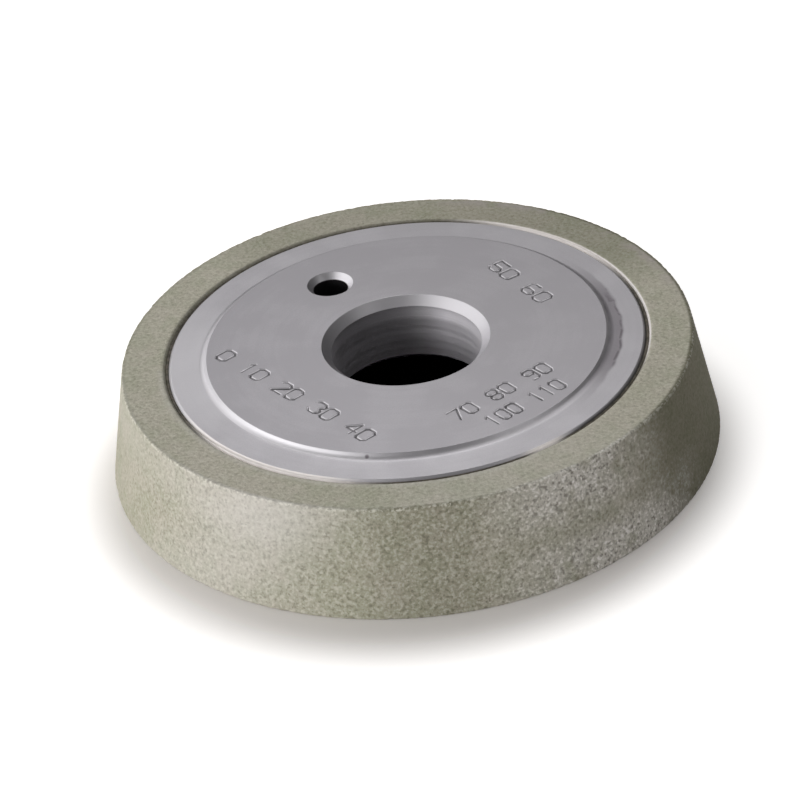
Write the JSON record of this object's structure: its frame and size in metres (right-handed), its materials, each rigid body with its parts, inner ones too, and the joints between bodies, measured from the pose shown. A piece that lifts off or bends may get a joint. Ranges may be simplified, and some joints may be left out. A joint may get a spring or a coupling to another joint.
{
  "type": "cbn grinding wheel",
  "caption": "Peripheral grinding wheel: a bored metal hub with a raised clamping face, a recessed back and a drive pin hole, carrying a bonded abrasive ring with a tapered outer face.",
  "frame": {"origin": "middle of the back face, where the wheel rests", "axes": "+Z along the spindle axis, out of the front face with the raised boss; the pin hole lies 120 degrees round from +X towards +Y"},
  "size_m": [0.1292, 0.1292, 0.0243],
  "materials": {
    "turned_steel": "satin, finely turned",
    "vitrified_abrasive": "rough, fine open grain",
    "cured_adhesive": "satin"
  },
  "bodies": {
    "root": {"hub": "turned_steel", "abrasive_ring": "vitrified_abrasive", "glue_line": "cured_adhesive"}
  },
  "joints": []
}
